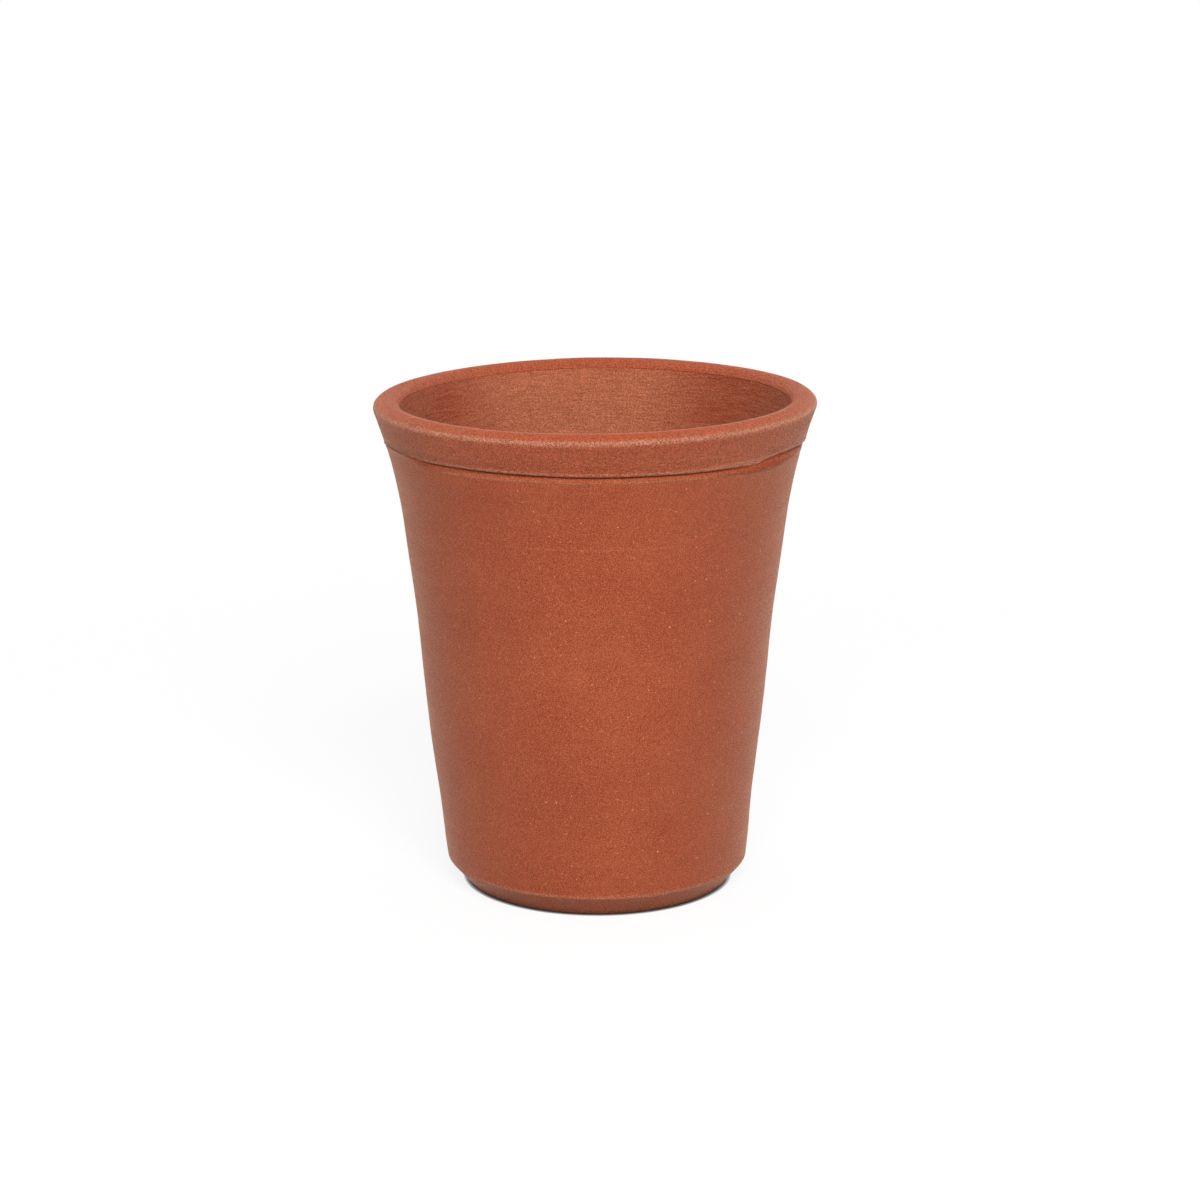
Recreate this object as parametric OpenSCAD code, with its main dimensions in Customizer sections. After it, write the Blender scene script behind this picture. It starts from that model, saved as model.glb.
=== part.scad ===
// Clay kulhad: an unglazed tea cup, thrown on the wheel as one body and fired.
// Lengths are in millimetres, +Z is up, and the origin is the centre of the face it stands on.
// The cup is a solid of revolution. Its half section is drawn as lines and tangent arcs,
// and is cut on two level planes into the zones that a potter works: foot, wall and rim band.

/* [Overall] */
// Height from the resting face to the crest of the lip
cup_h = 90.6; // [80:0.1:110]
// Widest diameter, at the outer arris of the rim band
rim_d = 80; // [78.6:0.1:84]

/* [Foot] */
// Diameter at the lower edge of the bevel, where the cup stands
rest_d = 48; // [40:0.1:52]
// Diameter at the foot arris, where the bevel meets the wall
foot_d = 55.3; // [53:0.1:58]
// Height of the bevel trimmed round the foot
bevel_h = 4.2; // [2.5:0.1:6]
// Rounding of the foot arris
foot_arris_r = 0.8; // [0.2:0.1:2]
// Rounding of the edge that meets the table
rest_edge_r = 0.4; // [0.1:0.1:1]
// Thickness of the floor
floor_t = 5.5; // [4:0.1:8]
// Radius of the inside corner between floor and wall
corner_r = 8; // [5:0.1:14]

/* [Wall] */
// Outside diameter at the waist, where the straight taper turns into the flare
waist_d = 67.6; // [64:0.1:70]
// Height of the flare, from the waist up to the groove
flare_h = 21.5; // [16:0.1:28]
// Outside diameter of the wall carried up to the groove
neck_d = 75.2; // [73.5:0.1:76.5]
// Thickness of the thrown wall
wall_t = 4.6; // [3.6:0.1:5.6]

/* [Rim band] */
// Height of the band, from the root of the groove to the crest of the lip
band_h = 7.85; // [6.5:0.05:10]
// How far the lower edge of the band stands proud of the wall
overhang = 0.4; // [0.1:0.05:1]
// Rounding of the lower edge of the band
band_edge_r = 0.35; // [0.15:0.05:0.6]
// Depth of the incised groove, measured in from the wall
groove_depth = 0.4; // [0.2:0.05:0.8]
// Height of the facet that the tool leaves under the groove
groove_facet_h = 0.9; // [0.5:0.05:1.6]

/* [Lip] */
// Radius of the outer arris of the lip
arris_r = 1.05; // [0.5:0.05:1.8]
// Radius over the crown of the lip
crown_r = 3.05; // [2.4:0.05:3.6]
// Radius of the inner shoulder of the lip
shoulder_r = 2.4; // [1.6:0.05:3]
// Angle above level at which the arris runs into the crown
crown_start = 45; // [35:1:60]
// Angle above level at which the crown runs into the shoulder
crown_end = 100; // [92:1:115]

/* [Hidden] */
$fn = 90;
clay = "#A75438";
// Turn of an arc between two of its points, in degrees
arc_step = 9;
// Points along the long shallow flare, inside and out
flare_steps = 9;

rim_r = rim_d / 2;
foot_r = foot_d / 2;
rest_r = rest_d / 2;
neck_r = neck_d / 2;
groove_h = cup_h - band_h;
waist_h = groove_h - flare_h;

// Unit vector at an angle, with 0 pointing outwards and 90 pointing up
function along(angle) = [cos(angle), sin(angle)];

// Points on a circle from one angle to another
function arc(centre, r, from, to, steps = 0) =
    let (count = steps > 0 ? steps : max(1, ceil(abs(to - from) / arc_step)))
    [for (i = [0:count]) centre + r * along(from + (to - from) * i / count)];

// Centre of the arc that rounds a corner, given the outward angles of its two faces
function rounding_centre(corner, r, face_a, face_b) =
    corner - r * (along(face_a) + along(face_b)) / (1 + cos(face_b - face_a));

// Radius of the flare that leaves a wall tangentially and wraps a circle on its clay side.
// With a circle of no size the flare just passes through its centre.
function flare_radius(start, out, centre, r) =
    let (w = start - centre)
    (w * w - r * r) / (-2 * (w * out + r));

// Angle and radius at a given height on the hollow side of a flare
function flare_angle(centre, r, h) = 180 - asin((h - centre.y) / r);
function flare_at(centre, r, h) = centre.x + r * cos(flare_angle(centre, r, h));

// The straight taper runs from the foot arris to the waist, leaning out by this angle
foot_arris = [foot_r, bevel_h];
waist = [waist_d / 2, waist_h];
taper = atan2(waist.x - foot_arris.x, waist.y - foot_arris.y);
wall_out = along(-taper);

// Bevel of the foot
bevel_out = atan2(bevel_h, foot_r - rest_r) - 90;

// Outer flare, from the waist to the neck
neck = [neck_r, groove_h];
outer_flare_r = flare_radius(waist, wall_out, neck, 0);
outer_flare = waist + outer_flare_r * wall_out;

// Groove: a root under the band, and a facet that runs down from it to the wall
groove_root = [neck_r - groove_depth, groove_h];
facet_foot_h = groove_h - groove_facet_h;

// Lip: arris, crown and shoulder are three arcs that touch where one takes over from the next
arris = [rim_r - arris_r, cup_h - crown_r + (crown_r - arris_r) * sin(crown_start)];
crown = arris - (crown_r - arris_r) * along(crown_start);
shoulder = crown + (crown_r - shoulder_r) * along(crown_end);

// Band: its face is the line that touches both the lower edge and the arris
band_edge = [neck_r + overhang - band_edge_r, groove_h + band_edge_r];
edge_to_arris = arris - band_edge;
band_out = atan2(edge_to_arris.y, edge_to_arris.x)
    - acos((band_edge_r - arris_r) / norm(edge_to_arris));

// Inner wall: parallel to the taper, then a flare that runs into the shoulder of the lip
inner_waist = waist - wall_t * wall_out;
inner_flare_r = flare_radius(inner_waist, wall_out, shoulder, shoulder_r);
inner_flare = inner_waist + inner_flare_r * wall_out;
shoulder_end = atan2(shoulder.y - inner_flare.y, shoulder.x - inner_flare.x);
inner_groove_r = flare_at(inner_flare, inner_flare_r, groove_h);

// Inside corner: an arc that touches the floor and the inner taper
corner_h = floor_t + corner_r;
inner_taper_r = inner_waist.x + (corner_h - inner_waist.y) * tan(taper);
corner = [inner_taper_r - corner_r / cos(taper), corner_h];
corner_end = corner + corner_r * wall_out;

// Level plane where the foot passes into the wall
foot_h = corner_end.y;
foot_top = [foot_r + (foot_h - bevel_h) * tan(taper), foot_h];

echo(wall_at_groove = neck_r - inner_groove_r, cavity_depth = cup_h - floor_t);

module turned(outline) {
    rotate_extrude()
        polygon(outline);
}

// Foot: floor, trimmed bevel and the lower wall up to the end of the inside corner
module foot() {
    rest_edge = rounding_centre([rest_r, 0], rest_edge_r, -90, bevel_out);
    foot_edge = rounding_centre(foot_arris, foot_arris_r, bevel_out, -taper);
    color(clay)
        turned(concat(
            [[0, 0]],
            arc(rest_edge, rest_edge_r, -90, bevel_out),
            arc(foot_edge, foot_arris_r, bevel_out, -taper),
            [foot_top],
            arc(corner, corner_r, -taper, -90),
            [[0, floor_t]]
        ));
}

// Wall: straight taper, flare and the facet below the groove
module wall() {
    outer_end = flare_angle(outer_flare, outer_flare_r, facet_foot_h);
    inner_start = flare_angle(inner_flare, inner_flare_r, groove_h);
    color(clay)
        turned(concat(
            [corner_end, foot_top],
            arc(outer_flare, outer_flare_r, 180 - taper, outer_end, flare_steps),
            [groove_root],
            arc(inner_flare, inner_flare_r, inner_start, 180 - taper, flare_steps)
        ));
}

// Rim band: undercut lower edge, leaning face and the rolled lip
module rim_band() {
    color(clay)
        turned(concat(
            [[inner_groove_r, groove_h], groove_root],
            arc(band_edge, band_edge_r, -90, band_out),
            arc(arris, arris_r, band_out, crown_start),
            arc(crown, crown_r, crown_start, crown_end),
            arc(shoulder, shoulder_r, crown_end, shoulder_end)
        ));
}

foot();
wall();
rim_band();
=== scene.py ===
import math
import bpy
import numpy as np
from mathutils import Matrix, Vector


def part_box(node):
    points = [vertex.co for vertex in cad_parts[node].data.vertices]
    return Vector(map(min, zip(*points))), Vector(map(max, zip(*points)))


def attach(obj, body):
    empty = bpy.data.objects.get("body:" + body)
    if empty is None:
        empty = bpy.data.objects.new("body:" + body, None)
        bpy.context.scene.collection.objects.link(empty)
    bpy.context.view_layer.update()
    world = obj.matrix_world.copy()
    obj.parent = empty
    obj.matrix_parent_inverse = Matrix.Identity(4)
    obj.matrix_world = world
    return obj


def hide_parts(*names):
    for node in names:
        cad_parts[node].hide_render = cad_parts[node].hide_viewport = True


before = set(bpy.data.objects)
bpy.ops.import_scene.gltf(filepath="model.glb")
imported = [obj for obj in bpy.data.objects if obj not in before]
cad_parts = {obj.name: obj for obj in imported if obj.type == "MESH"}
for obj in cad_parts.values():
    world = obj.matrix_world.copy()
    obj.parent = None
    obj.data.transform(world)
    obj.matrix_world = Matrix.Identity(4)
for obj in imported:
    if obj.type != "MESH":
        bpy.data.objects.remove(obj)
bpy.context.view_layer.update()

# A kulhad is one lump of red clay, thrown on the wheel, cut off with a wire, trimmed round the foot and
# fired without a glaze. Its half section is drawn here from the same lines and tangent arcs as the solids,
# Geometry Nodes turn it as the wheel does, with the unevenness of a hand, and it stays cut on the two level
# planes of the solids. The section is in millimetres, as (distance from the axis, height).
MM = 0.001

# Driving sizes, from the frame
cup_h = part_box("rim_band")[1].z / MM
rim_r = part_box("rim_band")[1].x / MM
groove_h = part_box("rim_band")[0].z / MM
foot_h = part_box("foot")[1].z / MM

# Foot
rest_r = 24.0
foot_r = 27.65
bevel_h = 4.2
foot_arris_r = 0.8
rest_edge_r = 0.4
floor_t = 5.5
corner_r = 8.0

# Wall
waist_r = 33.8
flare_h = 21.5
neck_r = 37.6
wall_t = 4.6

# Rim band and groove
overhang = 0.4
band_edge_r = 0.35
groove_depth = 0.4
groove_facet_h = 0.9

# Lip
arris_r = 1.05
crown_r = 3.05
shoulder_r = 2.4
crown_start = 45.0
crown_end = 100.0

# Spacing of the section's points: on plain walls, on rounded stretches, and in the crisp work at the rim
wall_step = 1.0
round_step = 0.45
crisp_step = 0.15
# Distance from the foot's level plane to the points beside it, so that both pieces are shaded alike there
seam_step = 0.05
# Height beside a worn edge that has crisp spacing too
worn_rows = 1.2
# Steps in one turn of the wheel
wheel_steps = 600

# Where the potter's fingers paused: height up the wall, how far it swells there, and over what height
swells = [(6.5, 0.03, 2.5), (16.0, -0.1, 3.5), (31.0, 0.12, 7.0), (49.8, -0.16, 5.5), (64.0, 0.14, 4.0),
          (80.5, 0.1, 3.0)]

# Cutting it from the lump pulled the cup off the wheel's axis by this much, from this height up
lean = 0.4
lean_height = 32.0
# The rim climbs to the right of the photograph and to the back, and is a little low all round
rim_climb = 0.4
rim_tilt = 0.17
rim_low = 0.1
# It stands up a little in the middle of the back, where the potter's hand left it
rim_rise_back = 0.2
# Difference between the longest and the shortest radius of the rim
rim_oval = 0.16

# How deep in the clay the hand's marks are: rings from the rib outside and from the fingers inside, broad
# swells, crumbled edges, wire marks under the foot, and a spiral on the floor of the cup
depths = {"Ring depth": 0.09, "Finger depth": 0.7, "Swell depth": 0.22, "Chip depth": 0.05,
          "Wire depth": 0.05, "Spiral depth": 0.22}
# Depth of the stray scratch that joins two strokes of the groove
stray_depth = 0.05
# Which of all chance patterns this cup got
seed = 4.0
# Height below the groove over which the wall leans out to be flush with the band
flush_span = 1.8
# Height above and below the groove that moves with it where it wanders
wander_span = 1.6
# The lowest clay keeps to the wheel, up to this height, so that the cup stands flat
still_height = 0.6
# Share of the way round the lip at which its skin starts to turn into that of the inside
lip_turns = 0.72


def along(degrees):
    """Unit vector at an angle, with 0 pointing outwards and 90 pointing up"""
    return np.array([math.cos(math.radians(degrees)), math.sin(math.radians(degrees))])


# Each stretch of the section leaves out its last point, because the next one starts there
def straight(start, end, step):
    count = max(1, round(np.linalg.norm(end - start) / step))
    return [start + (end - start) * i / count for i in range(count)]


def arc(centre, radius, first, last, step):
    count = max(1, round(abs(math.radians(last - first)) * radius / step))
    return [centre + radius * along(first + (last - first) * i / count) for i in range(count)]


def rounding_centre(corner, radius, face_a, face_b):
    """Centre of the arc that rounds a corner, given the outward angles of its two faces"""
    return corner - radius * (along(face_a) + along(face_b)) / (1 + math.cos(math.radians(face_b - face_a)))


def flare_radius(start, out, centre, radius):
    """Radius of the flare that leaves a wall tangentially and wraps a circle on its clay side"""
    gap = start - centre
    return (gap @ gap - radius ** 2) / (-2 * (gap @ out + radius))


def flare_angle(centre, radius, height):
    """Angle at a given height on the hollow side of a flare"""
    return 180 - math.degrees(math.asin((height - centre[1]) / radius))


def angle_of(vector):
    return math.degrees(math.atan2(vector[1], vector[0]))


# Taper and flare of the wall, outside and inside
foot_arris = np.array([foot_r, bevel_h])
waist = np.array([waist_r, groove_h - flare_h])
taper = 90 - angle_of(waist - foot_arris)
wall_out = along(-taper)
bevel_out = angle_of(foot_arris - [rest_r, 0]) - 90
neck = np.array([neck_r, groove_h])
outer_flare_r = flare_radius(waist, wall_out, neck, 0)
outer_flare = waist + outer_flare_r * wall_out

# Lip and band
arris = np.array([rim_r - arris_r, cup_h - crown_r + (crown_r - arris_r) * along(crown_start)[1]])
crown = arris - (crown_r - arris_r) * along(crown_start)
shoulder = crown + (crown_r - shoulder_r) * along(crown_end)
band_edge = np.array([neck_r + overhang - band_edge_r, groove_h + band_edge_r])
edge_to_arris = arris - band_edge
band_out = angle_of(edge_to_arris) - math.degrees(
    math.acos((band_edge_r - arris_r) / np.linalg.norm(edge_to_arris)))
groove_root = np.array([neck_r - groove_depth, groove_h])

# Inside of the cup
inner_waist = waist - wall_t * wall_out
inner_flare_r = flare_radius(inner_waist, wall_out, shoulder, shoulder_r)
inner_flare = inner_waist + inner_flare_r * wall_out
shoulder_end = angle_of(shoulder - inner_flare)
corner_h = floor_t + corner_r
inner_taper_r = inner_waist[0] + (corner_h - inner_waist[1]) * math.tan(math.radians(taper))
corner = np.array([inner_taper_r - corner_r / math.cos(math.radians(taper)), corner_h])
corner_end = corner + corner_r * wall_out

# Ends of the stretches
rest_edge = rounding_centre(np.array([rest_r, 0]), rest_edge_r, -90, bevel_out)
foot_edge = rounding_centre(foot_arris, foot_arris_r, bevel_out, -taper)
bevel_start = rest_edge + rest_edge_r * along(bevel_out)
bevel_end = foot_edge + foot_arris_r * along(bevel_out)
taper_start = foot_edge + foot_arris_r * along(-taper)
taper_slope = np.array([math.tan(math.radians(taper)), 1])
foot_top = foot_arris + (foot_h - bevel_h) * taper_slope
facet_foot_angle = flare_angle(outer_flare, outer_flare_r, groove_h - groove_facet_h)
facet_foot = outer_flare + outer_flare_r * along(facet_foot_angle)
worn_angle = flare_angle(outer_flare, outer_flare_r, groove_h - groove_facet_h - worn_rows)
band_face_start = band_edge + band_edge_r * along(band_out)
band_face_end = arris + arris_r * along(band_out)
inner_groove_angle = flare_angle(inner_flare, inner_flare_r, groove_h)
inner_groove = inner_flare + inner_flare_r * along(inner_groove_angle)
axis_under = np.array([0, 0])
axis_inside = np.array([0, floor_t])
seam = seam_step * taper_slope

outside = (
    straight(axis_under, rest_edge - [0, rest_edge_r], 2 * round_step)
    + arc(rest_edge, rest_edge_r, -90, bevel_out, crisp_step)
    + straight(bevel_start, bevel_end, round_step)
    + arc(foot_edge, foot_arris_r, bevel_out, -taper, crisp_step)
    + straight(taper_start, taper_start + worn_rows * taper_slope, crisp_step)
    + straight(taper_start + worn_rows * taper_slope, foot_top - seam, wall_step)
    + [foot_top - seam, foot_top, foot_top + seam]
    + straight(foot_top + seam, waist, wall_step)[1:]
    + arc(outer_flare, outer_flare_r, 180 - taper, worn_angle, 0.8 * wall_step)
    + arc(outer_flare, outer_flare_r, worn_angle, facet_foot_angle, crisp_step)
    + straight(facet_foot, groove_root, crisp_step)
    + [groove_root]
)
lip = (
    arc(band_edge, band_edge_r, -90, band_out, crisp_step / 2)
    + straight(band_face_start, band_face_end, crisp_step)
    + arc(arris, arris_r, band_out, crown_start, crisp_step)
    + arc(crown, crown_r, crown_start, crown_end, crisp_step)
    + arc(shoulder, shoulder_r, crown_end, shoulder_end, crisp_step)
)
inside = (
    arc(inner_flare, inner_flare_r, shoulder_end, inner_groove_angle, round_step)
    + [inner_groove]
    + arc(inner_flare, inner_flare_r, inner_groove_angle, 180 - taper, wall_step)[1:]
    + straight(inner_waist, corner_end + seam, wall_step)
    + [corner_end + seam, corner_end]
    + arc(corner, corner_r, -taper, -90, round_step)[1:]
    + straight(corner - [0, corner_r], axis_inside, round_step)
    + [axis_inside]
)
section = np.array(outside + lip + inside)
reach = section[:, 0]
height = section[:, 1]
row = np.arange(len(section))
first_lip_row = len(outside)
first_inside_row = len(outside) + len(lip)
outer_rows = row < first_lip_row
inner_rows = row >= first_inside_row


def row_at(level, side):
    """The row of the section nearest to a height, among the rows of one side"""
    return int(np.argmin(np.where(side, abs(height - level), np.inf)))


def near(spot, size):
    """How near each point of the section is to a spot: 1 there, fading over a size in millimetres"""
    return np.exp(-((section - spot) ** 2).sum(axis=1) / (2 * size ** 2))


def band_pass(values, low, high, soft):
    """1 between two values, with soft ends"""
    return np.clip((values - low) / soft + 0.5, 0, 1) * np.clip((high - values) / soft + 0.5, 0, 1)


def face_normals():
    """Which way the clay's surface faces at each point of the section"""
    run = np.gradient(section, axis=0)
    run /= np.linalg.norm(run, axis=1, keepdims=True)
    return run[:, 1], -run[:, 0]


faces_out, faces_up = face_normals()
crest = np.array([crown[0], cup_h])
on_outer_wall = outer_rows & (height > bevel_h)
swell = sum(size * np.exp(-((height - level) / (math.sqrt(2) * span)) ** 2) for level, size, span in swells)
lip_share = (row - first_lip_row) / len(lip)
groove_side = (row >= row_at(groove_h - groove_facet_h, outer_rows)) & (lip_share < 0.25)
# A filled groove follows a straight line from the facet's foot to the widest point of the band's edge
chord_top = band_edge + [band_edge_r, 0]
chord_share = (height - facet_foot[1]) / (chord_top[1] - facet_foot[1])
chord = facet_foot[0] + (chord_top[0] - facet_foot[0]) * chord_share
fill = np.where(groove_side & (height <= chord_top[1]), np.maximum(chord - reach, 0), 0)
# A wider facet slides its foot down the wall, and the clay below it follows less and less
below_groove = np.where(outer_rows, (groove_h - height) / groove_facet_h, 0)
facet_slide = np.where(below_groove > 1, np.exp(-((below_groove - 1) / 3) ** 2), below_groove)
facet_slide = np.where(outer_rows & (below_groove > -0.01), facet_slide, 0)
flare_out = along(facet_foot_angle - 90)
# Where the wall comes out almost flush with the band, it takes the underside of the band's edge along
wall_flush = np.where(on_outer_wall, np.exp(-((groove_h - height) / flush_span) ** 2), 0)
edge_flush = np.clip((chord_top[1] - height) / band_edge_r, 0, 1) * (row >= first_lip_row) * groove_side
facet_soft = 0.12
facet_band = band_pass(height, groove_h - groove_facet_h, groove_h - facet_soft, facet_soft)
# The wire marks fade out before the edge of the foot, and painted shade darkens the clay just above the
# table, where the foot meets it
wire_fade = 1.2
contact_shade_span = 0.35
# Where handling rubs the clay pale, painted paler still as the highlight each edge catches: arris of the lip,
# edge of the band, foot of the facet, foot arris
worn_and_highlit_edges = (near(arris + arris_r * along(20), 0.36) + 0.6 * near(chord_top, 0.26)
              + 0.75 * near(facet_foot, 0.08) + 0.4 * near(foot_arris, 0.3))

# What the wheel and the clay need to know at each point of the section
marks = {
    "reach": (reach + np.where(on_outer_wall, swell, 0)) * MM,
    "height": height * MM,
    "faces_out": faces_out,
    "faces_up": faces_up,
    "lean": -lean * np.sin(np.pi / 2 * np.clip(height / lean_height, 0, 1)) * MM,
    "climb": np.clip(height / groove_h, 0, 1) ** 2,
    "fill": fill * MM,
    "slide_out": -facet_slide * flare_out[0] * groove_facet_h * MM,
    "slide_up": -facet_slide * flare_out[1] * groove_facet_h * MM,
    "flush": wall_flush + edge_flush,
    "round_groove": np.where(inner_rows, 0, np.exp(-((height - groove_h) / wander_span) ** 2)),
    "free": np.clip(height / still_height, 0, 1),
    "inner": np.clip((lip_share - lip_turns) / (1 - lip_turns), 0, 1),
    "under": np.where(outer_rows & (height < 0.01), band_pass(reach, -1, rest_r - wire_fade, wire_fade), 0),
    "floor": np.where(inner_rows & (height < corner_h), band_pass(reach, -1, corner[0], 6), 0),
    "root": near(groove_root, 0.13),
    "facet": np.where(outer_rows, facet_band * np.clip(0.4 + 0.8 * below_groove, 0, 1), 0),
    "crown": np.where(outer_rows, 0, near(crest, 1.6)),
    "bevel": np.where(outer_rows, band_pass(height, -1, bevel_h - 0.1, 0.5), 0),
    "burr": np.where(inner_rows, 0, near(chord_top, 0.22)),
    "rim": np.where(outer_rows | inner_rows, 0, 1),
    "rest": np.where(inner_rows | (reach <= rest_r - 1.5), 0, np.exp(-height / contact_shade_span)),
    "stray": np.where(inner_rows, 0, near(band_face_start + [0, 0.25], 0.12)),
    "ledge": np.where(inner_rows, 0, near(band_face_start + 0.7 * along(band_out + 90), 0.13)),
    "mouth": near(crown + crown_r * along(crown_end + 2), 0.45),
    "wear": np.clip(worn_and_highlit_edges, 0, 1),
}

# Turn of the wheel in degrees from the front of the photograph, rising towards its right
turns = np.arange(wheel_steps) * 360 / wheel_steps


def round_about(turn, spread):
    """1 at one turn of the wheel, fading on both sides of it"""
    gap = (turns - turn + 180) % 360 - 180
    return np.exp(-(gap / spread) ** 2)


def between(first, last, soft):
    """1 from one turn of the wheel to another, with soft ends"""
    middle, half = (first + last) / 2, (last - first) / 2
    gap = abs((turns - middle + 180) % 360 - 180)
    return np.clip((half - gap) / soft + 0.5, 0, 1)


rim_rise = (rim_climb * np.sin(np.radians(turns)) - rim_tilt * np.cos(np.radians(turns)) - rim_low
            + rim_rise_back * (round_about(180, 26) - round_about(180, 75)))
# The groove was cut by hand in three strokes: a deep one in front, and one on each side that runs higher.
# Between them it is almost wiped shut, and only a stray scratch joins them up. For some turns of the wheel:
# how far it lies above its level, how deep it is (1 is full depth), and how wide the facet under it is.
groove_course = [
    (-180, 0.1, 0.7, 1.0), (-125, -0.4, 0.8, 0.9), (-90, -1.1, 1.0, 0.4), (-84, -0.7, 1.0, 0.4),
    (-76, 0.12, 1.0, 0.4), (-70, 0.32, 1.0, 0.4), (-64, 0.32, 0.8, 0.4), (-61, 0.29, 0.1, 0.5),
    (-56, 0.15, 0.0, 0.8), (-53, -0.02, 0.1, 1.1), (-47, 0.02, 0.45, 1.3), (-37, 0.12, 0.6, 1.25),
    (-20, 0.1, 0.85, 1.1), (0, 0.07, 0.9, 1.08), (15, 0.08, 0.85, 1.1), (35, 0.04, 0.65, 1.3),
    (43, -0.08, 0.4, 1.5), (48, -0.1, 0.15, 1.8), (52, 0.5, 0.3, 2.3), (57, 0.66, 0.35, 2.5),
    (67, 0.68, 0.4, 2.2), (76, 0.35, 0.6, 1.5), (84, -0.15, 0.7, 1.0), (92, -0.4, 0.8, 0.8),
    (130, 0.0, 0.75, 1.0), (180, 0.1, 0.7, 1.0),
]
signed_turns = (turns + 180) % 360 - 180
groove_lies, cut, facet_width = [np.interp(signed_turns, *np.array(groove_course)[:, [0, column]].T)
                                 for column in (1, 2, 3)]
# The tool pushed the clay of the band's lower edge outwards, most in front
burr_out = 0.05 + 0.12 * round_about(0, 45)
# On both sides the wall comes out almost flush with the band
flush_out = 0.25 * between(-112, -55, 12) + 0.2 * between(44, 78, 10)
# The facet shows raw orange clay where the tool went over it last, and in front it is also painted brighter
# as the light its upturned face catches
fresh_and_lit = 0.2 + 0.1 * round_about(0, 25) + 0.8 * round_about(54, 15) + 0.35 * round_about(-51, 8)
# The stray scratch lies between the left stroke and the one in front, and is painted darker as the shade in
# it
stray_cut = between(-63, -52, 3)
# On the right an older, shallower cut runs on above the groove; its edge is painted as a pale highlight, and
# the cut itself is not shaped
painted_ledge_highlight = between(34, 52, 6)
# Painted light: the crown of the lip is painted a brighter, warmer orange, as lit from above and by the warm
# inside of the cup, most in front
painted_crown_light = 0.6 + 0.35 * round_about(4, 35)
# Painted highlight: the inner edge of the mouth is painted paler, as the glancing reflection it shows, most
# in front
painted_mouth_highlight = between(-60, 60, 40)
# Inside, the back of the wall is painted paler as the light it reflects, and the rest darker and more
# saturated as shade
painted_inside_light_and_shade = between(150, 222, 24)

# What the wheel and the clay need to know at each turn of the wheel
wheel_marks = {
    "turn": np.radians(turns),
    "cut": cut,
    "fresh_and_lit": np.clip(fresh_and_lit, 0, 1),
    "groove_rise": (groove_lies - rim_rise) * MM,
    "facet_width": facet_width,
    "burr_out": burr_out * MM,
    "flush_out": flush_out * MM,
    "stray_cut": stray_cut,
    "painted_ledge_highlight": painted_ledge_highlight,
    "painted_crown_light": painted_crown_light,
    "painted_mouth_highlight": painted_mouth_highlight,
    "painted_inside_light_and_shade": painted_inside_light_and_shade,
    "rim_rise": rim_rise * MM,
}


def to_linear(code):
    """A colour written as in a paint program, turned to the light it reflects"""
    parts = [int(code[i:i + 2], 16) / 255 for i in (1, 3, 5)]
    return [c / 12.92 if c <= 0.04045 else ((c + 0.055) / 1.055) ** 2.4 for c in parts] + [1.0]


def add(tree, kind, inputs=(), **settings):
    """Adds a node with its settings, and fills its inputs by name or in order. A node given as an input
    is linked from its first output, a socket is linked as it is, and anything else is a value."""
    node = tree.nodes.new(kind)
    for name, value in settings.items():
        setattr(node, name, value)
    shown = [socket for socket in node.inputs if socket.enabled]
    pairs = inputs.items() if isinstance(inputs, dict) else enumerate(inputs)
    for key, value in pairs:
        socket = shown[key] if isinstance(key, int) else next(s for s in shown if s.name == key)
        if isinstance(value, bpy.types.Node):
            value = next(output for output in value.outputs if output.enabled)
        if isinstance(value, bpy.types.NodeSocket):
            tree.links.new(value, socket)
        else:
            socket.default_value = value
    return node


def bare_tree(owner):
    """The node tree of a material or of the world, with no nodes in it"""
    owner.use_nodes = True
    owner.node_tree.nodes.clear()
    return owner.node_tree


def put_in_scene(name, data):
    """A new object at the origin"""
    thing = bpy.data.objects.new(name, data)
    bpy.context.scene.collection.objects.link(thing)
    return thing


def level_run(tree, x, y, lay, run, pitch):
    """Where a pattern is read that runs level round the cup: it is long one way and narrow across"""
    x = add(tree, "ShaderNodeMath", [x, run], operation="DIVIDE")
    y = add(tree, "ShaderNodeMath", [y, run], operation="DIVIDE")
    across = add(tree, "ShaderNodeMath", [lay, pitch], operation="DIVIDE")
    return add(tree, "ShaderNodeCombineXYZ", [x, y, across])


def spots(tree, place, spacing, channel, share, size, soft):
    """Round spots, 1 inside and 0 outside, in a share of the cells that the clay is divided into. Their
    largest size and soft edge are shares of the spacing. The cells' own random values come back too."""
    cells = add(tree, "ShaderNodeTexVoronoi", {"Vector": place, "Scale": 1 / spacing}).outputs
    chance = add(tree, "ShaderNodeSeparateColor", [cells["Color"]]).outputs
    radius = add(tree, "ShaderNodeMapRange", {"Value": chance[channel], "From Min": 1 - share,
                                              "From Max": 1.0, "To Min": 0.0, "To Max": size})
    inside = add(tree, "ShaderNodeMath", [radius, cells["Distance"]], operation="SUBTRACT")
    return add(tree, "ShaderNodeMapRange", {"Value": inside, "From Min": 0.0, "From Max": soft}), chance


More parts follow.
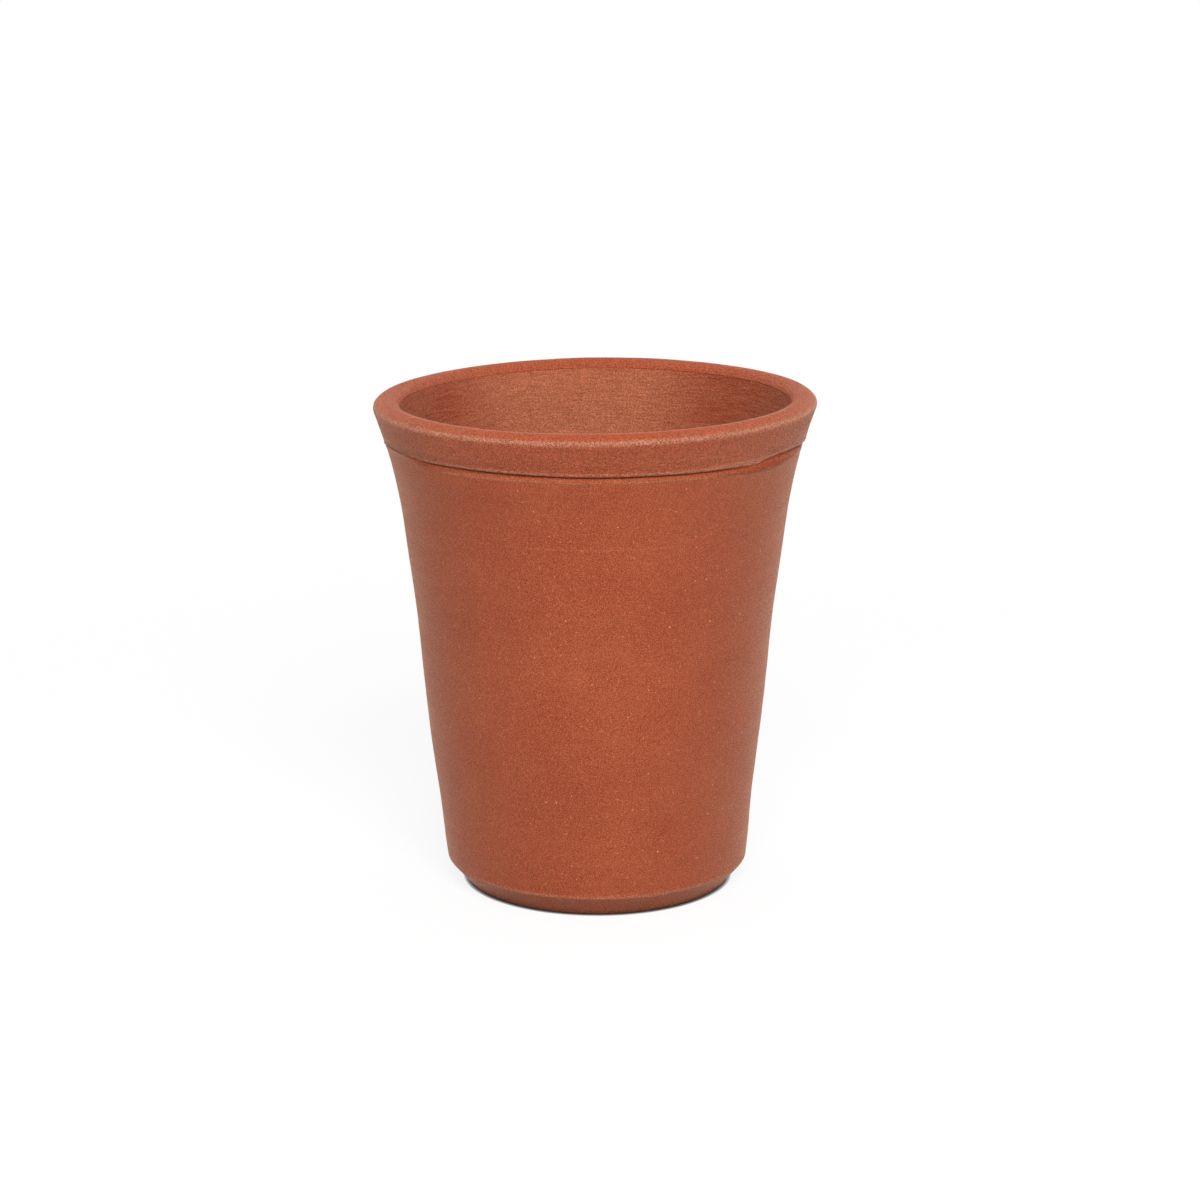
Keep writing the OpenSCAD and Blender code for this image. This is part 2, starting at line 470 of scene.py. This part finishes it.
def thin_mark(tree, place, start, end, width):
    """A thin straight mark on the front of the cup that fades at its ends"""
    run = np.subtract(end, start)
    length = float(np.linalg.norm(run))
    across = (-run[1] / length, 0, run[0] / length)
    onward = (run[0] / length, 0, run[1] / length)
    middle = ((start[0] + end[0]) / 2, 0, (start[1] + end[1]) / 2)
    from_middle = add(tree, "ShaderNodeVectorMath", [place, middle], operation="SUBTRACT")
    aside = add(tree, "ShaderNodeVectorMath", [from_middle, across], operation="DOT_PRODUCT").outputs["Value"]
    aside = add(tree, "ShaderNodeMath", [aside], operation="ABSOLUTE")
    thin = add(tree, "ShaderNodeMapRange", {"Value": aside, "From Min": width / 4, "From Max": width,
                                            "To Min": 1, "To Max": 0})
    ahead = add(tree, "ShaderNodeVectorMath", [from_middle, onward], operation="DOT_PRODUCT").outputs["Value"]
    ahead = add(tree, "ShaderNodeMath", [ahead], operation="ABSOLUTE")
    ends = add(tree, "ShaderNodeMapRange", {"Value": ahead, "From Min": 0.3 * length, "From Max": length / 2,
                                            "To Min": 1, "To Max": 0})
    back = add(tree, "ShaderNodeSeparateXYZ", [place]).outputs["Y"]
    in_front = add(tree, "ShaderNodeMath", [back, 0], operation="LESS_THAN")
    shown = add(tree, "ShaderNodeMath", [thin, ends], operation="MULTIPLY")
    return add(tree, "ShaderNodeMath", [shown, in_front], operation="MULTIPLY")


def lay_over(tree, body, layers):
    """Lays tones over the clay, one on the other: each has where it lies, how strongly, and its colour"""
    for where, strength, colour in layers:
        share = add(tree, "ShaderNodeMath", [where, strength], operation="MULTIPLY")
        tone = to_linear(colour) if isinstance(colour, str) else colour
        body = add(tree, "ShaderNodeMix", [share, body, tone], data_type="RGBA")
    return body


def skin_patterns(tree, place):
    """The patterns of the clay's skin, each at its real size in millimetres"""
    axes = add(tree, "ShaderNodeSeparateXYZ", [place]).outputs
    level = add(tree, "ShaderNodeVectorMath", [place, (1, 1, 0)], operation="MULTIPLY")
    out = add(tree, "ShaderNodeVectorMath", [level], operation="LENGTH").outputs["Value"]
    lay = add(tree, "ShaderNodeMath", [out, axes["Z"]], operation="ADD")
    # The wheel leaves fine streaks, fingers drag the wet clay, and the rib drags grit along in short dashes
    streak_place = level_run(tree, axes["X"], axes["Y"], lay, run=38, pitch=1.1)
    drag_place = level_run(tree, axes["X"], axes["Y"], lay, run=5, pitch=0.75)
    dash_place = level_run(tree, axes["X"], axes["Y"], lay, run=7, pitch=0.2)
    # Where each pattern is read, its size there, its detail and its roughness. Silt of 0.05 mm is finer than
    # the picture shows, so the grain is drawn at 0.17 mm.
    noises = {
        "clouds": (place, 12, 3.0, 0.5),
        "blotches": (place, 4.5, 4.0, 0.5),
        "clods": (place, 2.8, 3.0, 0.6),
        "grit": (place, 0.45, 2.0, 0.65),
        "grain": (place, 0.17, 2.0, 0.7),
        "streaks": (streak_place, 1, 3.0, 0.5),
        "drags": (drag_place, 1, 3.0, 0.6),
        "dashes": (dash_place, 1, 1.0, 0.5),
    }
    pattern = {}
    for name, (where, size, detail, roughness) in noises.items():
        pattern[name] = add(tree, "ShaderNodeTexNoise", {"Vector": where, "Scale": 1 / size,
                                                         "Detail": detail, "Roughness": roughness})
    pattern["dashes"] = add(tree, "ShaderNodeMapRange", {"Value": pattern["dashes"], "From Min": 0.68,
                                                         "From Max": 0.78})
    for name in ("grain", "grit"):
        pattern[name + "_away"] = add(tree, "ShaderNodeMath", [pattern[name], 0.5], operation="SUBTRACT")
    # Grains of sand lie on the skin, and small pits are left where others fell out
    pattern["sand"], sand_chance = spots(tree, place, 0.9, "Red", share=0.3, size=0.22, soft=0.05)
    pattern["sand_tone"] = sand_chance["Blue"]
    pattern["pits"] = spots(tree, place, 2.6, "Green", share=0.2, size=0.1, soft=0.03)[0]
    return pattern


def clay_colour(tree, place, pattern, mark, rough_skin):
    """Colour, from the body of the clay out to what lies on it"""
    # Each pattern shows between two of its values
    shown = {}
    for name, low, high in (("clouds", 0.3, 0.7), ("blotches", 0.35, 0.65), ("streaks", 0.42, 0.72),
                            ("clods", 0.42, 0.62), ("drags", 0.35, 0.65)):
        shown[name] = add(tree, "ShaderNodeMapRange", {"Value": pattern[name], "From Min": low,
                                                       "From Max": high})
    clods, drags = [add(tree, "ShaderNodeMath", [shown[name], mark["inner"]], operation="MULTIPLY")
                    for name in ("clods", "drags")]
    # Painted light and shade inside: dark and saturated at the sides, paler at the back
    inside_lit_and_shaded_tone = add(tree, "ShaderNodeMix", [mark["painted_inside_light_and_shade"], to_linear("#A63C14"), to_linear("#D07C58")],
                     data_type="RGBA")
    # Painted shade: the root of the groove is painted dark, only where the tool cut deep
    painted_groove_shade = add(tree, "ShaderNodeMapRange", {"Value": mark["cut"], "From Min": 0.1, "From Max": 0.7,
                                                 "To Max": 0.85})
    stray, mouth, ledge = [add(tree, "ShaderNodeMath", [mark[name], mark[by_turn]], operation="MULTIPLY")
                           for name, by_turn in (("stray", "stray_cut"), ("mouth", "painted_mouth_highlight"),
                                                ("ledge", "painted_ledge_highlight"))]
    # From the body of the clay up: its clouds, the inside with its painted light and shade, the rim, the
    # crown painted as lit, the foot, the facet partly painted as lit, and painted shade in the groove, in the
    # stray scratch and where the foot meets the table
    body = lay_over(tree, to_linear("#AA492B"), [
        (shown["clouds"], 1, "#B35433"),
        (shown["blotches"], 0.14, "#A14629"),
        (shown["streaks"], 0.15, "#B9633F"),
        (mark["inner"], 0.75, inside_lit_and_shaded_tone),
        (clods, 0.22, "#92442A"),
        (drags, 0.4, "#C07353"),
        (mark["rim"], 0.7, "#D66C49"),
        (mark["crown"], mark["painted_crown_light"], "#CE4404"),
        (mark["bevel"], 0.6, "#CE7050"),
        # The facet's paler tone is partly painted light, for the light its upturned face catches
        (mark["facet"], 0.5, "#C66C47"),
        (mark["raw_and_lit"], 1, "#D2501A"),
        (mark["root"], painted_groove_shade, "#521F10"),
        (stray, 0.35, "#6E2A18"),
        (mark["rest"], 0.8, "#4F2414"),
    ])

    # Grain and grit speckle it, most where the skin is rough
    grain_size = add(tree, "ShaderNodeMath", [rough_skin, 2.3, 3.0], operation="MULTIPLY_ADD")
    grit_size = add(tree, "ShaderNodeMath", [rough_skin, 1.7, 0.1], operation="MULTIPLY_ADD")
    speckle = 1.0
    for away, size in ((pattern["grain_away"], grain_size), (pattern["grit_away"], grit_size)):
        speckle = add(tree, "ShaderNodeMath", [away, size, speckle], operation="MULTIPLY_ADD")
    speckle = add(tree, "ShaderNodeMath", [speckle, 0.6], operation="MAXIMUM")
    speckle = add(tree, "ShaderNodeMath", [speckle, 1.45], operation="MINIMUM")
    body = add(tree, "ShaderNodeVectorMath", {"Vector": body, "Scale": speckle.outputs["Value"]},
               operation="SCALE")

    # The brighter grains are pale silt and quartz
    quartz = add(tree, "ShaderNodeMapRange", {"Value": pattern["grain"], "From Min": 0.5, "From Max": 0.7})
    quartz_pale = add(tree, "ShaderNodeMath", [rough_skin, -0.3, 0.36], operation="MULTIPLY_ADD")
    # Worn edges are rubbed pale in patches, and the patches carry painted highlight too
    rub_grain = add(tree, "ShaderNodeMix", [0.3, pattern["grain"], pattern["grit"]], data_type="FLOAT")
    rub_patches = add(tree, "ShaderNodeMapRange", {"Value": rub_grain, "From Min": 0.48, "From Max": 0.55,
                                                   "To Min": 0.2})
    rub_runs = add(tree, "ShaderNodeMapRange", {"Value": pattern["blotches"], "From Min": 0.3,
                                                "From Max": 0.55, "To Min": 0.75})
    rub = add(tree, "ShaderNodeMath", [rub_patches, rub_runs], operation="MULTIPLY")
    sand_pale = add(tree, "ShaderNodeMapRange", {"Value": pattern["sand_tone"], "From Min": 0.7,
                                                 "From Max": 0.95, "To Min": 0.4, "To Max": 0.95})
    body = lay_over(tree, body, [
        (quartz, quartz_pale, "#DC9A7A"),
        (rub, mark["wear"], "#F2B290"),
        # painted highlight along the inner edge of the mouth
        (mouth, 0.75, "#DC9C7C"),
        # painted highlight on the ledge's edge on the right
        (ledge, 0.6, "#DC9C7C"),
        (pattern["sand"], sand_pale, "#EDAE88"),
        (pattern["dashes"], 0.45, "#7C3A26"),
        (pattern["pits"], 0.75, "#5C2A1D"),
    ])

    # A few thin marks in front: where the rib was lifted, and two scratches from the stack in the kiln.
    # Each has its two ends, in millimetres to the right and up, its width, its strength and its colour.
    thin_marks = [
        ((-15.8, 69.55), (14.4, 69.55), 0.11, 0.22, "#D98F6C"),
        ((-14.5, 79.9), (3.4, 79.9), 0.1, 0.18, "#D98F6C"),
        ((24.9, 69.4), (26.7, 69.6), 0.14, 0.7, "#5C2A1D"),
        ((20.7, 46.8), (27.8, 46.0), 0.12, 0.45, "#5C2A1D"),
    ]
    return lay_over(tree, body, [(thin_mark(tree, place, start, end, width), strength, colour)
                                 for start, end, width, strength, colour in thin_marks])


def terracotta():
    """Unglazed terracotta earthenware: red clay full of iron, thrown, wiped with a wet finger and a rib, and
    fired at about 950 degrees. The eye gets a matt orange brown with soft clouds from the kiln, fine level
    streaks from the wheel, grit and sand grains on the skin, and pale rubbed edges with painted highlights on
    them. Light and shade are painted into the colour in places too: painted light on the crown of the lip,
    the mouth, a ledge, the facet and the back of the inside, and painted shade in the groove, in a scratch,
    inside at the sides and at the foot."""
    material = bpy.data.materials.new("unglazed_terracotta")
    tree = bare_tree(material)
    object_place = add(tree, "ShaderNodeTexCoord").outputs["Object"]
    place = add(tree, "ShaderNodeVectorMath", {"Vector": object_place, "Scale": 1 / MM}, operation="SCALE")
    pattern = skin_patterns(tree, place)
    mark = {name: add(tree, "ShaderNodeAttribute", attribute_name=name).outputs["Fac"]
            for name in ("inner", "root", "cut", "facet", "fresh_and_lit", "stray", "stray_cut", "crown",
                         "painted_crown_light", "rim", "bevel", "rest", "wear", "painted_inside_light_and_shade", "ledge", "painted_ledge_highlight",
                         "mouth", "painted_mouth_highlight")}
    mark["raw_and_lit"] = add(tree, "ShaderNodeMath", [mark["facet"], mark["fresh_and_lit"]], operation="MULTIPLY")

    # The grain stands out most on the crown of the lip and on raw clay, then on the band, the bevel and the
    # inside, and least on the wall, where the rib pressed it down
    rough_skin = mark["crown"]
    for name, share in (("inner", 0.35), ("rim", 0.7), ("bevel", 0.6), ("raw_and_lit", 1)):
        skin = add(tree, "ShaderNodeMath", [mark[name], share], operation="MULTIPLY")
        rough_skin = add(tree, "ShaderNodeMath", [rough_skin, skin], operation="MAXIMUM")

    # Gloss: dry clay is matt, and a little less so where the rib pressed the skin smooth
    rough = add(tree, "ShaderNodeMapRange", {"Value": pattern["streaks"], "From Min": 0.3, "From Max": 0.7,
                                             "To Min": 0.38, "To Max": 0.47})
    grain_gloss = add(tree, "ShaderNodeMath", [rough_skin, -1.2, -0.5], operation="MULTIPLY_ADD")
    for what, how_much in ((pattern["grain_away"], grain_gloss), (mark["raw_and_lit"], 0.3), (mark["root"], 0.5)):
        rough = add(tree, "ShaderNodeMath", [what, how_much, rough], operation="MULTIPLY_ADD")

    # Relief, as a height in millimetres
    grain_high = add(tree, "ShaderNodeMath", [rough_skin, 0.3, 0.14], operation="MULTIPLY_ADD")
    grit_high = add(tree, "ShaderNodeMath", [rough_skin, 0.85, 0.05], operation="MULTIPLY_ADD")
    clod_high = add(tree, "ShaderNodeMath", [mark["inner"], 0.3], operation="MULTIPLY")
    drag_high = add(tree, "ShaderNodeMath", [mark["inner"], 0.34], operation="MULTIPLY")
    relief = 0.0
    for name, high in (("grain", grain_high), ("grit", grit_high), ("clods", clod_high), ("streaks", 0.03),
                       ("sand", 0.03), ("pits", -0.12), ("dashes", -0.04), ("drags", drag_high)):
        relief = add(tree, "ShaderNodeMath", [pattern[name], high, relief], operation="MULTIPLY_ADD")
    bump = add(tree, "ShaderNodeBump", {"Strength": 1.0, "Distance": MM, "Height": relief})

    body = clay_colour(tree, place, pattern, mark, rough_skin)
    clay = add(tree, "ShaderNodeBsdfPrincipled", {"Base Color": body, "Roughness": rough, "Normal": bump,
                                                  "Diffuse Roughness": 0.0, "IOR": 1.5,
                                                  "Specular IOR Level": 0.36,
                                                  "Specular Tint": to_linear("#FFE7D1"),
                                                  "Sheen Weight": 0.12, "Sheen Roughness": 0.3,
                                                  "Sheen Tint": to_linear("#FFE3C8")})
    add(tree, "ShaderNodeOutputMaterial", {"Surface": clay})
    return material


def throwing_tree():
    """The wheel: turns a half section round the axis, and gives it the unevenness of thrown clay"""
    tree = bpy.data.node_groups.new("thrown_on_the_wheel", "GeometryNodeTree")
    sizes = [(name, "Float") for name in ("Oval", *depths, "Seed")]
    for name, kind in (("Section", "Geometry"), ("Wheel", "Object"), *sizes, ("Clay", "Material")):
        tree.interface.new_socket(name, in_out="INPUT", socket_type="NodeSocket" + kind)
    tree.interface.new_socket("Cup", in_out="OUTPUT", socket_type="NodeSocketGeometry")
    given = add(tree, "NodeGroupInput").outputs

    wheel = add(tree, "GeometryNodeObjectInfo", {"Object": given["Wheel"]}).outputs["Geometry"]
    wheel_curve = add(tree, "GeometryNodeMeshToCurve", {"Mesh": wheel})
    section_curve = add(tree, "GeometryNodeMeshToCurve", {"Mesh": given["Section"]})
    turned = add(tree, "GeometryNodeCurveToMesh", {"Curve": wheel_curve, "Profile Curve": section_curve})

    at = {name: add(tree, "GeometryNodeInputNamedAttribute", {"Name": name}, data_type="FLOAT")
          for name in ("reach", "height", "turn", "faces_out", "faces_up", "lean", "climb", "rim_rise",
                       "fill", "cut", "slide_out", "slide_up", "facet_width", "flush", "flush_out",
                       "round_groove", "groove_rise", "free", "inner", "under", "floor", "burr",
                       "burr_out", "stray", "stray_cut", "wear")}
    sine = add(tree, "ShaderNodeMath", [at["turn"]], operation="SINE")
    cosine = add(tree, "ShaderNodeMath", [at["turn"]], operation="COSINE")
    east = add(tree, "ShaderNodeMath", [at["reach"], sine], operation="MULTIPLY")
    south = add(tree, "ShaderNodeMath", [at["reach"], cosine], operation="MULTIPLY")
    lay = add(tree, "ShaderNodeMath", [at["reach"], at["height"]], operation="ADD")
    place = add(tree, "ShaderNodeCombineXYZ", [east, south, at["height"]])

    # Rings left by the rib outside and the fingers inside, broad swells, and edges that crumbled in drying
    ring_place = level_run(tree, east, south, lay, run=60 * MM, pitch=3.2 * MM)
    finger_place = level_run(tree, east, south, lay, run=60 * MM, pitch=8 * MM)
    swell_size = 16 * MM
    chip_size = 0.9 * MM
    rings, fingers, broad, chips = [
        add(tree, "ShaderNodeTexNoise", {"Vector": where, "W": given["Seed"], "Scale": 1 / size,
                                         "Detail": detail}, noise_dimensions="4D")
        for where, size, detail in ((ring_place, 1, 2.0), (finger_place, 1, 1.0),
                                    (place, swell_size, 1.0), (place, chip_size, 2.0))]
    rings, fingers, broad = [add(tree, "ShaderNodeMath", [noise, 0.5], operation="SUBTRACT")
                             for noise in (rings, fingers, broad)]
    chips = add(tree, "ShaderNodeMapRange", {"Value": chips, "From Min": 0.4, "From Max": 0.75,
                                             "To Min": 0.0, "To Max": -1.0})
    chips = add(tree, "ShaderNodeMath", [chips, at["wear"]], operation="MULTIPLY")
    inner_fingers = add(tree, "ShaderNodeMath", [fingers, at["inner"]], operation="MULTIPLY")
    stands = 0.0
    for what, depth in ((rings, "Ring depth"), (inner_fingers, "Finger depth"), (broad, "Swell depth"),
                        (chips, "Chip depth")):
        stands = add(tree, "ShaderNodeMath", [what, given[depth], stands], operation="MULTIPLY_ADD")
    stands = add(tree, "ShaderNodeMath", [stands, at["free"]], operation="MULTIPLY")

    # The groove fills where the tool was lifted, and its facet widens and narrows
    shut = add(tree, "ShaderNodeMath", [1.0, at["cut"]], operation="SUBTRACT")
    wider = add(tree, "ShaderNodeMath", [at["facet_width"], 1.0], operation="SUBTRACT")
    stray = add(tree, "ShaderNodeMath", [at["stray"], at["stray_cut"]], operation="MULTIPLY")

    # Out of round: the rim is a little long from front left to back right
    oval_turn = 1.1
    double_turn = add(tree, "ShaderNodeMath", [at["turn"], 2.0, oval_turn], operation="MULTIPLY_ADD")
    oval = add(tree, "ShaderNodeMath", [double_turn], operation="COSINE")
    oval = add(tree, "ShaderNodeMath", [oval, given["Oval"]], operation="MULTIPLY")

    # Fingers open the lump in a spiral, and leave it on the floor of the cup
    spiral_pitch = 5.5 * MM
    spiral = add(tree, "ShaderNodeMath", [at["reach"], math.tau / spiral_pitch], operation="MULTIPLY")
    spiral = add(tree, "ShaderNodeMath", [spiral, at["turn"]], operation="SUBTRACT")
    spiral = add(tree, "ShaderNodeMath", [spiral], operation="SINE")
    spiral = add(tree, "ShaderNodeMath", [spiral, at["floor"]], operation="MULTIPLY")

    # The twisted wire that cuts the cup from the lump leaves shell marks under the foot, bent by its swells
    wire_pitch = 1.9 * MM
    wire_aside = (31 * MM, -9 * MM, 0)
    wire_bend = 9.0
    wire_from = add(tree, "ShaderNodeVectorMath", [place, wire_aside], operation="DISTANCE")
    wire = add(tree, "ShaderNodeMath", [wire_from.outputs["Value"], math.tau / wire_pitch],
               operation="MULTIPLY")
    wire = add(tree, "ShaderNodeMath", [broad, wire_bend, wire], operation="MULTIPLY_ADD")
    wire = add(tree, "ShaderNodeMath", [wire], operation="SINE")
    wire = add(tree, "ShaderNodeMath", [wire, 1.0], operation="ADD")
    wire = add(tree, "ShaderNodeMath", [wire, at["under"]], operation="MULTIPLY")

    # How far out from the axis and how far up each point lies in the end
    far_out = at["reach"]
    for what, how_far in ((at["fill"], shut), (at["slide_out"], wider), (oval, at["climb"]),
                          (stands, at["faces_out"]), (at["burr"], at["burr_out"]),
                          (at["flush"], at["flush_out"]), (stray, -stray_depth * MM)):
        far_out = add(tree, "ShaderNodeMath", [what, how_far, far_out], operation="MULTIPLY_ADD")
    up = at["height"]
    for what, how_far in ((at["slide_up"], wider), (at["round_groove"], at["groove_rise"]),
                          (stands, at["faces_up"]), (at["rim_rise"], at["climb"]),
                          (spiral, given["Spiral depth"]), (wire, given["Wire depth"])):
        up = add(tree, "ShaderNodeMath", [what, how_far, up], operation="MULTIPLY_ADD")
    x = add(tree, "ShaderNodeMath", [far_out, sine, at["lean"]], operation="MULTIPLY_ADD")
    y = add(tree, "ShaderNodeMath", [far_out, cosine], operation="MULTIPLY")
    y = add(tree, "ShaderNodeMath", [y, -1.0], operation="MULTIPLY")
    position = add(tree, "ShaderNodeCombineXYZ", [x, y, up])
    placed = add(tree, "GeometryNodeSetPosition", {"Geometry": turned, "Position": position})
    pole_size = 0.002 * MM
    closed = add(tree, "GeometryNodeMergeByDistance", {"Geometry": placed, "Distance": pole_size})
    # The section runs round the clay so that the sweep faces inwards, so its faces are turned about
    outward = add(tree, "GeometryNodeFlipFaces", {"Mesh": closed})
    real = add(tree, "GeometryNodeRealizeInstances", {"Geometry": outward})
    clayed = add(tree, "GeometryNodeSetMaterial", {"Geometry": real, "Material": given["Clay"]})
    add(tree, "NodeGroupOutput", {"Cup": clayed})
    return tree


def line_of_points(name, places, values, closed):
    """A chain of edges whose points carry named values"""
    mesh = bpy.data.meshes.new(name)
    links = [(i, i + 1) for i in range(len(places) - 1)]
    if closed:
        links.append((len(places) - 1, 0))
    mesh.from_pydata([tuple(p) for p in places], links, [])
    for label, numbers in values.items():
        column = mesh.attributes.new(label, "FLOAT", "POINT")
        column.data.foreach_set("value", np.asarray(numbers, np.float32))
    return put_in_scene(name, mesh)


def throw(name, rows, closed, tree, wheel, clay):
    """Turns some rows of the section into one closed piece of the cup"""
    places = [(reach[i] * MM, height[i] * MM, 0) for i in rows]
    line = line_of_points(name + "_section", places, {label: marks[label][rows] for label in marks}, closed)
    modifier = line.modifiers.new("wheel", "NODES")
    modifier.node_group = tree
    settings = {label: depth * MM for label, depth in depths.items()}
    settings |= {"Wheel": wheel, "Oval": rim_oval / 2 * MM, "Seed": seed, "Clay": clay}
    for socket in tree.interface.items_tree:
        if socket.name in settings:
            modifier[socket.identifier] = settings[socket.name]
    graph = bpy.context.evaluated_depsgraph_get()
    mesh = bpy.data.meshes.new_from_object(line.evaluated_get(graph), preserve_all_data_layers=True,
                                           depsgraph=graph)
    line.modifiers.clear()
    bpy.data.objects.remove(line)
    mesh.name = name
    mesh.shade_smooth()
    mesh.set_sharp_from_angle(angle=math.radians(40))
    return put_in_scene(name, mesh)


def make_cup():
    """Throws the three pieces, and has each take the place of its solid"""
    wheel_places = [(math.cos(t), math.sin(t), 0) for t in wheel_marks["turn"]]
    wheel = line_of_points("wheel", wheel_places, wheel_marks, True)
    tree = throwing_tree()
    clay = terracotta()
    foot_out = row_at(foot_h, outer_rows & (reach > rest_r))
    foot_in = row_at(foot_h, inner_rows)
    groove_out = first_lip_row - 1
    groove_in = row_at(groove_h, inner_rows)
    foot_rows = [*row[:foot_out + 1], *row[foot_in:]]
    wall_rows = [*row[foot_out:groove_out + 1], *row[groove_in:foot_in + 1]]
    rim_rows = row[groove_out:groove_in + 1]
    for name, node, rows, closed in (("thrown_foot", "foot", foot_rows, False),
                                     ("thrown_wall", "wall", wall_rows, True),
                                     ("rolled_rim", "rim_band", rim_rows, True)):
        piece = throw(name, np.array(rows), closed, tree, wheel, clay)
        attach(piece, "root")
        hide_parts(node)
    bpy.data.objects.remove(wheel)


# At a glancing view the dusty clay mirrors the white studio in a warm tone
warm_glance = (1.0, 0.76, 0.6, 1.0)


def make_floor():
    """A white sheet of paper, lit as white as the page, that keeps the cup's soft shadow. It throws back on
    the cup only as much light as the photograph shows there."""
    material = bpy.data.materials.new("white_paper")
    tree = bare_tree(material)
    # Close under the foot hardly any light gets in
    crevice = add(tree, "ShaderNodeAmbientOcclusion", {"Distance": 0.8 * MM}, samples=8).outputs["AO"]
    crevice = add(tree, "ShaderNodeMath", [crevice, 2], operation="POWER")
    paper_tone = add(tree, "ShaderNodeMix", [crevice, to_linear("#2A1A14"), to_linear("#6E6E6E")],
                     data_type="RGBA")
    paper = add(tree, "ShaderNodeBsdfDiffuse", {"Color": paper_tone})
    dim_paper = add(tree, "ShaderNodeBsdfDiffuse", {"Color": to_linear("#A6A6A6")})
    glow_level = add(tree, "ShaderNodeMath", [crevice, 0.87], operation="MULTIPLY")
    ray = add(tree, "ShaderNodeLightPath").outputs
    bright_glance = [1.4 * part for part in warm_glance]
    tone = add(tree, "ShaderNodeMix", [ray["Is Glossy Ray"], (1, 1, 1, 1), bright_glance], data_type="RGBA")
    glow = add(tree, "ShaderNodeEmission", {"Color": tone, "Strength": glow_level})
    seen = add(tree, "ShaderNodeMath", [ray["Is Camera Ray"], ray["Is Glossy Ray"]], operation="ADD")
    seen = add(tree, "ShaderNodeMath", [seen, ray["Is Transmission Ray"]], operation="ADD", use_clamp=True)
    lit = add(tree, "ShaderNodeAddShader", [paper, glow])
    near_cup = add(tree, "ShaderNodeMixShader", [seen, dim_paper, lit])
    # Away from the cup the sheet is as white as the page
    white = add(tree, "ShaderNodeEmission", {"Color": tone, "Strength": 1.0})
    object_place = add(tree, "ShaderNodeTexCoord").outputs["Object"]
    away = add(tree, "ShaderNodeVectorMath", [object_place], operation="LENGTH").outputs["Value"]
    away = add(tree, "ShaderNodeMapRange", {"Value": away, "From Min": 0.1, "From Max": 0.3})
    away = add(tree, "ShaderNodeMath", [away, seen], operation="MULTIPLY")
    shown = add(tree, "ShaderNodeMixShader", [away, near_cup, white])
    add(tree, "ShaderNodeOutputMaterial", {"Surface": shown})

    # Half the width of the sheet, in metres
    half = 2.5
    corners = [(-half, -half, 0), (half, -half, 0), (half, half, 0), (-half, half, 0)]
    mesh = bpy.data.meshes.new("studio_floor")
    mesh.from_pydata(corners, [], [(0, 1, 2, 3)])
    mesh.materials.append(material)
    floor = put_in_scene("studio_floor", mesh)


def soft_box(name, place, size, power):
    """A square studio lamp that faces the cup"""
    lamp = bpy.data.lights.new(name, "AREA")
    lamp.shape = "SQUARE"
    lamp.size = size
    lamp.energy = power
    light = put_in_scene(name, lamp)
    light.location = place
    towards = (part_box("foot")[0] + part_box("rim_band")[1]) / 2 - light.location
    light.rotation_euler = towards.to_track_quat("-Z", "Y").to_euler()


def make_light():
    """A white studio with two soft boxes"""
    world = bpy.data.worlds.new("studio")
    tree = bare_tree(world)
    ray = add(tree, "ShaderNodeLightPath").outputs
    seen = add(tree, "ShaderNodeMath", [ray["Is Camera Ray"], ray["Is Transmission Ray"]], operation="ADD",
               use_clamp=True)
    towards = add(tree, "ShaderNodeSeparateXYZ", [add(tree, "ShaderNodeTexCoord").outputs["Generated"]])
    # The white sweep stands behind the cup, and the room in front of it and above is dim
    sweep = add(tree, "ShaderNodeMapRange", {"Value": towards.outputs["Y"], "From Min": -0.3, "From Max": 0.6,
                                             "To Min": 0.1, "To Max": 0.48})
    mirrored = add(tree, "ShaderNodeMapRange", {"Value": towards.outputs["Z"], "From Min": 0.3,
                                                "From Max": 0.8, "To Min": 1.25, "To Max": 0.3})
    room = add(tree, "ShaderNodeBackground", {"Color": (1, 1, 1, 1), "Strength": sweep})
    mirror = add(tree, "ShaderNodeBackground", {"Color": warm_glance, "Strength": mirrored})
    white = add(tree, "ShaderNodeBackground", {"Color": (1, 1, 1, 1), "Strength": 1.0})
    shown = add(tree, "ShaderNodeMixShader", [ray["Is Glossy Ray"], room, mirror])
    shown = add(tree, "ShaderNodeMixShader", [seen, shown, white])
    add(tree, "ShaderNodeOutputWorld", {"Surface": shown})
    bpy.context.scene.world = world

    soft_box("overhead_soft_box", place=(0.02, 0, 1.2), size=0.8, power=1.8)
    soft_box("front_soft_box", place=(0.13, -1.014, 0.845), size=0.6, power=15.5)


def make_camera():
    """Where the photograph was taken from, worked out from the cup's outline in it"""
    lens_mm, sensor_mm = 96, 36
    aside, back, above, look_down = 0.5 * MM, 568.15 * MM, 192.99 * MM, 13.92
    camera_data = bpy.data.cameras.new("camera")
    camera_data.lens = lens_mm
    camera_data.sensor_width = sensor_mm
    camera = put_in_scene("camera", camera_data)
    camera.location = (aside, -back, above)
    camera.rotation_euler = (math.radians(90 - look_down), 0, 0)
    bpy.context.scene.camera = camera


make_cup()
make_floor()
make_light()
make_camera()
bpy.context.scene.view_settings.view_transform = "Standard"
